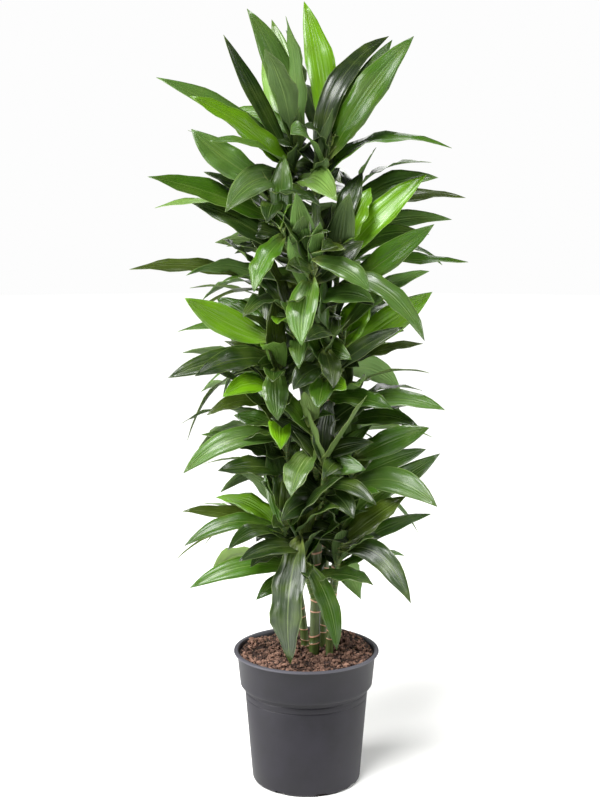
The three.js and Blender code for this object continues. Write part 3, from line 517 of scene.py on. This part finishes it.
# The silvery tone S is painted lighter and greyer than the blade's own green: a painted reflection
# standing for the sheen of light off the glossy upper face.
TONES = {  # the upper face: dark and mid green, olive, silvery (a painted sheen), pale and young lime green
    "D": "#1c2e08", "G": "#38580a", "O": "#414d13", "S": "#4a652e", "P": "#728d4c", "L": "#668f07",
}
BACKGROUND_TONES = "DDDGGGOS"
TONE_SPREAD = (0.72, 1.4)  # how much darker or lighter than its tone a leaf may be
STRIPED, PLAIN = 0.18, 0.02  # how much of the pale stripes shows
LEAF_SEED = 19
PAINT_SEED = 6
STEM_STEPS = 3  # the solid stem runs straight between these
LEAFLESS = 0.3  # the share of a shoot's stem below its lowest leaf
STEM_RADIUS = (0.0075, 0.0035)
ROOTED_AT = 0.5  # how far out from its stem's middle a leaf starts, as a share of the radius
STEM_RING = 0.008
STEM_SIDES = 10
GOLDEN_SHARE = 0.618034  # of a whole turn or spread, which never lines two leaves up
LOOSE_AIM = (-12, 12)  # how far a bearing or a rise strays from its rule, in degrees
SHADED_LEAVES = 6  # short dark ones, crowded in the middle of each shoot
SHADED_LENGTH = (0.08, 0.135)
SHADED_WIDTH = (0.03, 0.045)
SHADED_RISE = (-10, 65)
SHADED_ARCH = (0.05, 0.2)
SHADED_TURN = (10, 60)
# Where a solid blade's tip may hang, in cm away and up from the place asked for, and how near
# a corner of the solid has to be to be that tip.
SHIFTS = [(0, 0)]
SHIFTS += [(away, up) for up in (0, 1, -1, 2, -2, 3.5, -3.5)
           for away in (1, -1, 2, -2, 3.5, -3.5, 5, -5, 7, -7)]
TIP_FOUND = 4e-4
BLADE_GRID = (14, 4)
BLADE_THICKNESS = 0.0007
WIDEST = 0.5  # where a blade is widest, as a share of its length
EARLY_BEND = 0.9  # the more a leaf bows, the nearer its root it bends
SWEEP = 0.08  # the most that a leaf bends sideways, as a share of its length
TWIST = 25  # the most that a blade twists from root to tip, in degrees
FOLD = 0.2  # how far each half of a blade is raised, in radians
CLASPING_FOLD = 1.15  # more at the root, where the blade clasps its stem
CLASP_LENGTH = 0.22
RIPPLE = 0.07  # the lift of the edge's long waves, as a share of half the width
RIPPLE_WAVES = 1.7
FLUTTER = (0.02, 0.11)  # the lift of its short waves
FLUTTER_WAVES = 3.4
OTHER_EDGE = 2.1  # how far the waves of one edge run ahead of the other's, in radians


def draws(seed):
    """A seeded run of evenly spread numbers from 0 to 1, the run that placed the solid leaves."""
    state = seed
    while True:
        state = (state + 0x6D2B79F5) & 0xFFFFFFFF
        mixed = ((state ^ (state >> 15)) * (1 | state)) & 0xFFFFFFFF
        mixed ^= (mixed + ((mixed ^ (mixed >> 7)) * (61 | mixed) & 0xFFFFFFFF)) & 0xFFFFFFFF
        yield ((mixed ^ (mixed >> 14)) & 0xFFFFFFFF) / 2 ** 32


draw = draws(LEAF_SEED)


def between(limits):
    """The next draw, as a value between two limits."""
    return limits[0] + (limits[1] - limits[0]) * next(draw)


def share_at_height(path, height):
    """The share of its length at which a cane reaches a height, found by halving."""
    low, high = 0, 1
    for halving in range(30):
        middle = (low + high) / 2
        if cane_point(path, middle).z < height:
            low = middle
        else:
            high = middle
    return low


def stem_curve(start, end):
    """A shoot's curve, from its cane to its growing tip: out first, and then up."""
    return start, start + Vector(((end.x - start.x) * 0.75, (end.y - start.y) * 0.75,
                                  (end.z - start.z) * 0.4)), end


def stem_spot(curve, along):
    """A spot up the middle of a shoot's stem."""
    start, bend, end = curve
    return start * (1 - along) ** 2 + bend * 2 * along * (1 - along) + end * along ** 2


def solid_spot(curve, along):
    """A spot up the middle of the solid stem, which runs straight from step to step."""
    step = min(int(along * STEM_STEPS), STEM_STEPS - 1)
    near, far = (stem_spot(curve, (step + k) / STEM_STEPS) for k in (0, 1))
    return near.lerp(far, along * STEM_STEPS - step)


def up_the_stem(at):
    """How far up its stem a leaf grows, from its place between the lowest leaf and the top."""
    return LEAFLESS + (1 - LEAFLESS) * at


def stem_radius(along):
    """The radius of a shoot's stem, which thins evenly to its growing tip."""
    return STEM_RADIUS[0] + (STEM_RADIUS[1] - STEM_RADIUS[0]) * along


def aim_of(bearing, rise):
    """The way a leaf points, from its bearing and its rise in radians."""
    return Vector((math.cos(bearing) * math.cos(rise), math.sin(bearing) * math.cos(rise),
                   math.sin(rise)))


def blade_width(along):
    """A strap leaf's width, as a share of its widest: it swells, then runs to a point."""
    swell = 0.38 + 0.62 * math.sin(min(along / WIDEST, 1) * math.pi / 2)
    return swell * max(0.012, 1 - max(0, (along - WIDEST) / (1 - WIDEST)) ** 2)


def lay_blade(mesh, leaf):
    """Lays one flat grid along its leaf's midrib, folds it, ripples its edges and paints it."""
    root, tip, width, arch, face, phase = (leaf[key] for key in
                                           ("root", "tip", "width", "arch", "face", "phase"))
    chord = (tip - root).normalized()
    across = chord.cross(Vector((0, 0, 1))).normalized()
    over = across.cross(chord)
    bend_at = max(0.15, 0.5 - EARLY_BEND * max(0, arch - 0.1))
    middle = root.lerp(tip, bend_at) + over * 2 * arch * (tip - root).length
    middle += across * SWEEP * (tip - root).length * math.sin(phase)
    grid = bmesh.ops.create_grid(mesh, x_segments=BLADE_GRID[0], y_segments=BLADE_GRID[1],
                                 size=0.5, calc_uvs=True)["verts"]
    for vert in grid:
        along = vert.co.x + 0.5
        edge = -2 * vert.co.y
        spot = root * (1 - along) ** 2 + middle * 2 * along * (1 - along) + tip * along ** 2
        tangent = ((middle - root) * (1 - along) + (tip - middle) * along).normalized()
        above = across.cross(tangent).normalized()
        turn = math.radians((face if across.y < 0 else -face) + TWIST * along * math.cos(phase))
        side = across * math.cos(turn) - above * math.sin(turn)
        above = above * math.cos(turn) + across * math.sin(turn)
        half = blade_width(2 * along * (1 - along) * bend_at + along ** 2) * width / 2
        fold = FOLD + CLASPING_FOLD * max(0, 1 - along / CLASP_LENGTH) ** 1.6
        ahead = 0 if edge > 0 else OTHER_EDGE
        wave = 2 * math.pi * along
        ripple = RIPPLE * along * math.sin(wave * RIPPLE_WAVES + phase + ahead)
        flutter = leaf["flutter"] * math.sin(wave * FLUTTER_WAVES + 3 * phase + 2 * ahead)
        lift = half * (abs(edge) * math.sin(fold) + 2 * (ripple + flutter) * abs(edge) ** 1.5)
        vert.co = spot + side * edge * half * math.cos(fold) + above * lift
        vert[mesh.verts.layers.float_color["leaf_colour"]] = leaf["colour"]
        vert[mesh.verts.layers.float["stripes"]] = leaf["stripes"]


def leaf_skin(name, underside):
    """A leaf's surface. The cuticle above is glossy over ribs about 5 mm apart and fibres under
    1 mm apart, which are shares of the blade's width; the underside is duller and paler."""
    material = bpy.data.materials.new(name)
    material.use_nodes = True
    tree = material.node_tree
    skin = tree.nodes["Principled BSDF"]
    blade = add(tree, "UVMap", uv_map="blade").outputs["UV"]
    along, over, _ = add(tree, "SeparateXYZ", {"Vector": blade}).outputs
    tone = add(tree, "Attribute", attribute_name="leaf_colour").outputs["Color"]
    stripes = add(tree, "Attribute", attribute_name="stripes").outputs["Fac"]
    ribs = add(tree, "TexWave", {"Vector": blade, "Scale": 2.6, "Distortion": 0.6,
                                 "Detail Scale": 2}, bands_direction="Y").outputs["Fac"]
    fine = add(tree, "Mapping", {"Vector": blade, "Scale": (2, 64, 1)}).outputs["Vector"]
    fibres = add(tree, "TexNoise", {"Vector": fine, "Scale": 1, "Detail": 2}).outputs["Fac"]
    place = add(tree, "TexCoord").outputs["Object"]
    cloud = add(tree, "TexNoise", {"Vector": place, "Scale": 22, "Detail": 2}).outputs["Fac"]
    lighter = add(tree, "MixRGB", {"Fac": 1, "Color1": tone, "Color2": linear("#f0ffd8")},
                  blend_type="MULTIPLY")
    shadow = add(tree, "MapRange", {"Value": fibres, "From Min": 0.3, "From Max": 0.7,
                                    "To Max": 0.3})
    veined = add(tree, "MixRGB", {"Fac": shadow.outputs["Result"],
                                  "Color1": lighter.outputs["Color"],
                                  "Color2": linear("#1f2f0b")})
    weathered = add(tree, "MapRange", {"Value": cloud, "From Min": 0.45, "From Max": 0.75,
                                       "To Max": 0.35})
    olive = add(tree, "MixRGB", {"Fac": weathered.outputs["Result"],
                                 "Color1": veined.outputs["Color"], "Color2": linear("#566a22")})
    stripe = add(tree, "MapRange", {"Value": fibres, "From Min": 0.52, "From Max": 0.6})
    striped = add(tree, "Math", {0: stripe.outputs["Result"], 1: stripes}, operation="MULTIPLY")
    pale = add(tree, "MixRGB", {"Fac": striped.outputs["Value"], "Color1": olive.outputs["Color"],
                                "Color2": linear("#c3d19a")})
    clasp = add(tree, "MapRange", {"Value": along, "From Max": 0.16, "To Min": 0.75, "To Max": 0})
    based = add(tree, "MixRGB", {"Fac": clasp.outputs["Result"], "Color1": pale.outputs["Color"],
                                 "Color2": linear("#8fa052")})
    from_midrib = add(tree, "Math", {0: over, 1: 0.5}, operation="SUBTRACT").outputs["Value"]
    from_midrib = add(tree, "Math", {0: from_midrib}, operation="ABSOLUTE").outputs["Value"]
    margin = add(tree, "MapRange", {"Value": from_midrib, "From Min": 0.47, "From Max": 0.5,
                                    "To Max": 0.22})
    midrib = add(tree, "MapRange", {"Value": from_midrib, "From Max": 0.03, "To Min": 0.18,
                                    "To Max": 0})
    lines = add(tree, "Math", {0: margin.outputs["Result"], 1: midrib.outputs["Result"]},
                operation="ADD")
    edged = add(tree, "MixRGB", {"Fac": lines.outputs["Value"], "Color1": based.outputs["Color"],
                                 "Color2": linear("#9fb468")})
    broad = add(tree, "Mapping", {"Vector": blade, "Scale": (1.4, 8, 1)}).outputs["Vector"]
    flutes = add(tree, "TexNoise", {"Vector": broad, "Scale": 1, "Detail": 1}).outputs["Fac"]
    height = add(tree, "Math", {0: ribs, 1: fibres}, operation="ADD")
    ribbed = add(tree, "Bump", {"Height": height.outputs["Value"], "Distance": 0.0006,
                                "Strength": 0.5})
    fluted = add(tree, "Bump", {"Height": flutes, "Distance": 0.006, "Strength": 0.6,
                                "Normal": ribbed.outputs["Normal"]})
    tree.links.new(fluted.outputs["Normal"], skin.inputs["Normal"])
    colour = edged
    if underside:
        colour = add(tree, "MixRGB", {"Fac": 0.3, "Color1": edged.outputs["Color"],
                                      "Color2": linear("#76905c")})
    tree.links.new(colour.outputs["Color"], skin.inputs["Base Color"])
    skin.inputs["Roughness"].default_value = 0.5 if underside else 0.33
    skin.inputs["IOR"].default_value = 1.45
    skin.inputs["Specular IOR Level"].default_value = 0.12 if underside else 0.3
    skin.inputs["Coat Weight"].default_value = 0 if underside else 0.35
    skin.inputs["Coat Roughness"].default_value = 0.22
    skin.inputs["Subsurface Weight"].default_value = 0.1
    skin.inputs["Subsurface Radius"].default_value = (0.8, 1, 0.3)
    skin.inputs["Subsurface Scale"].default_value = 0.001
    return material


cuticle = leaf_skin("leaf_cuticle", underside=False)
underside = leaf_skin("leaf_underside", underside=True)
shoot_skin = stem_skin("green_shoot_stem", "#5c7a33", "#8f8a52", "#4d6a2b")
painter = random.Random(PAINT_SEED)

for name, (fork, growing_tip, background, tones, rows) in SHOOTS.items():
    node = name + "_shoot"
    cane_name, fork_height = fork
    path = canes[cane_name]
    fork_at = cane_point(path, share_at_height(path, fork_height / 100))
    curve = stem_curve(fork_at, Vector(growing_tip) / 100)
    outward = -1 if growing_tip[1] > 0 else 1  # leaves at the back turn their faces backwards

    leaves = []
    for number, (row, tone) in enumerate(zip(rows, tones)):
        leaves.append({"at": (number + 0.9) / len(rows), "tip": Vector(row[:3]) / 100,
                       "width": row[3] / 100, "arch": row[4], "face": row[5],
                       "phase": 2 * math.pi * next(draw), "tone": tone})

    habit_name, count, bearing, spread = background
    habit = HABITS[habit_name]
    for number in range(count):
        at = (number + 0.5) / count
        turned = bearing + spread * (number * GOLDEN_SHARE % 1) + between(LOOSE_AIM)
        low, high = habit["rise"]
        raised = low + (high - low) * at + between(LOOSE_AIM)
        aim = aim_of(math.radians(turned), math.radians(raised))
        tip = solid_spot(curve, up_the_stem(at)) + aim * between(habit["length"]) / 100
        leaves.append({"at": at, "tip": tip, "width": between(habit["width"]) / 100,
                       "arch": between(habit["arch"]), "face": outward * between(habit["turn"]),
                       "phase": 2 * math.pi * next(draw),
                       "tone": painter.choice(BACKGROUND_TONES)})

    for number in range(SHADED_LEAVES):
        at = (number + painter.random()) / SHADED_LEAVES
        turned = 2 * math.pi * (number * GOLDEN_SHARE + painter.random() / 3)
        aim = aim_of(turned, math.radians(painter.uniform(*SHADED_RISE)))
        tip = solid_spot(curve, up_the_stem(at)) + aim * painter.uniform(*SHADED_LENGTH)
        leaves.append({"at": at, "tip": tip, "width": painter.uniform(*SHADED_WIDTH),
                       "arch": painter.uniform(*SHADED_ARCH),
                       "face": outward * painter.uniform(*SHADED_TURN),
                       "phase": 2 * math.pi * painter.random(), "tone": "D"})

    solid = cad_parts[node].data.vertices
    corners = kdtree.KDTree(len(solid))
    for corner in solid:
        corners.insert(corner.co, corner.index)
    corners.balance()
    blades = bmesh.new()
    blades.loops.layers.uv.new("blade")
    blades.verts.layers.float_color.new("leaf_colour")
    blades.verts.layers.float.new("stripes")
    for leaf in leaves:
        along = up_the_stem(leaf["at"])
        middle = solid_spot(curve, along)
        side = leaf["tip"] - middle
        side.z = 0
        leaf["root"] = middle + side.normalized() * ROOTED_AT * stem_radius(along)
        hung = [leaf["tip"] + Vector((0, away, up)) / 100 for away, up in SHIFTS]
        found = [tip for tip in hung if corners.find(tip)[2] < TIP_FOUND]
        leaf["tip"] = found[0] if found else leaf["tip"]
        colour = Vector(linear(TONES[leaf["tone"].upper()])) * painter.uniform(*TONE_SPREAD)
        leaf["colour"] = (*colour[:3], 1)
        leaf["stripes"] = STRIPED if leaf["tone"].islower() else PLAIN
        leaf["flutter"] = painter.uniform(*FLUTTER)
        lay_blade(blades, leaf)
    bmesh.ops.remove_doubles(blades, verts=blades.verts, dist=1e-6)
    rosette = finished(blades, name + "_leaves")
    flesh = rosette.modifiers.new("flesh", "SOLIDIFY")
    flesh.thickness = BLADE_THICKNESS
    flesh.offset = 0
    flesh.material_offset = 1
    rosette.data.materials.append(cuticle)
    rosette.data.materials.append(underside)
    stem = ringed_stem(name + "_stem", lambda along: stem_spot(curve, along), stem_radius,
                       STEM_RING, STEM_SIDES)
    stem.data.materials.append(shoot_skin)
    for piece in (rosette, stem):
        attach(piece, "root")
        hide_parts(node)


# ---- studio ----
# A plain pale floor that meets an even pale surround, a broad soft light from above the left
# front, weaker soft lights on both sides and behind, and the photograph's own viewpoint.
FLOOR_RADIUS = 14
FILL = 0.1  # the share of the surround's pale tone that lights the plant
DIFFUSER_STRENGTH = 5.0
DIFFUSER_SPREAD = math.radians(26)
DIFFUSER_TURN = (math.radians(32), 0, math.radians(-28))
PLANT_MIDDLE = Vector((0, 0, 0.85))
SOFTBOXES = [  # where each stands, its width and height, all in metres, and its power in watts
    ("left_softbox", (-2.3, -0.7, 1.5), 1.0, 2.0, 110),
    ("right_softbox", (2.3, -0.4, 1.5), 1.0, 2.0, 55),
    ("back_softbox", (0.3, 2.4, 2.4), 1.6, 1.2, 25),
]
EYE = (-0.013, -2.8, 1.214)
LOOKING_DOWN = math.radians(8.48)
FOCAL_PIXELS = 1404  # fitted to the pot, in a frame 800 pixels on its long side
FRAME_PIXELS = 800

floor_mesh = bmesh.new()
bmesh.ops.create_circle(floor_mesh, cap_ends=True, segments=96, radius=FLOOR_RADIUS)
floor = finished(floor_mesh, "floor")
paper = bpy.data.materials.new("seamless_studio_paper")
# Uncoated paper off a roll: matt, and a little darker than the surround, so that its
# reflection doesn't whiten the undersides of leaves.
paper.use_nodes = True
skin = paper.node_tree.nodes["Principled BSDF"]
skin.inputs["Base Color"].default_value = linear("#e9e9e7")
skin.inputs["Roughness"].default_value = 0.9
floor.data.materials.append(paper)

surround = bpy.data.worlds.new("pale_surround")
# It is pale where it is seen past the plant, and lights the plant much less, because a full
# white light from all round would wash out the dark of the leaves.
bpy.context.scene.world = surround
surround.use_nodes = True
tree = surround.node_tree
seen = add(tree, "LightPath").outputs["Is Camera Ray"]
strength = add(tree, "MapRange", {"Value": seen, "To Min": FILL, "To Max": 1}).outputs["Result"]
tree.nodes["Background"].inputs["Color"].default_value = linear("#fdfdfd")
tree.links.new(strength, tree.nodes["Background"].inputs["Strength"])

sky = bpy.data.lights.new("overhead_diffuser", "SUN")
sky.energy = DIFFUSER_STRENGTH
sky.angle = DIFFUSER_SPREAD
overhead = bpy.data.objects.new("overhead_diffuser", sky)
overhead.rotation_euler = DIFFUSER_TURN
bpy.context.scene.collection.objects.link(overhead)

for name, spot, width, height, power in SOFTBOXES:
    lamp = bpy.data.lights.new(name, "AREA")
    lamp.shape = "RECTANGLE"
    lamp.size = width
    lamp.size_y = height
    lamp.energy = power
    light = bpy.data.objects.new(name, lamp)
    light.location = spot
    light.rotation_euler = (PLANT_MIDDLE - Vector(spot)).to_track_quat("-Z", "Y").to_euler()
    bpy.context.scene.collection.objects.link(light)

lens = bpy.data.cameras.new("photo_view")
lens.sensor_width = 36
lens.lens = lens.sensor_width * FOCAL_PIXELS / FRAME_PIXELS
camera = bpy.data.objects.new("photo_view", lens)
camera.location = EYE
camera.rotation_euler = (math.pi / 2 - LOOKING_DOWN, 0, 0)
bpy.context.scene.collection.objects.link(camera)
bpy.context.scene.camera = camera
bpy.context.scene.view_settings.view_transform = "Standard"
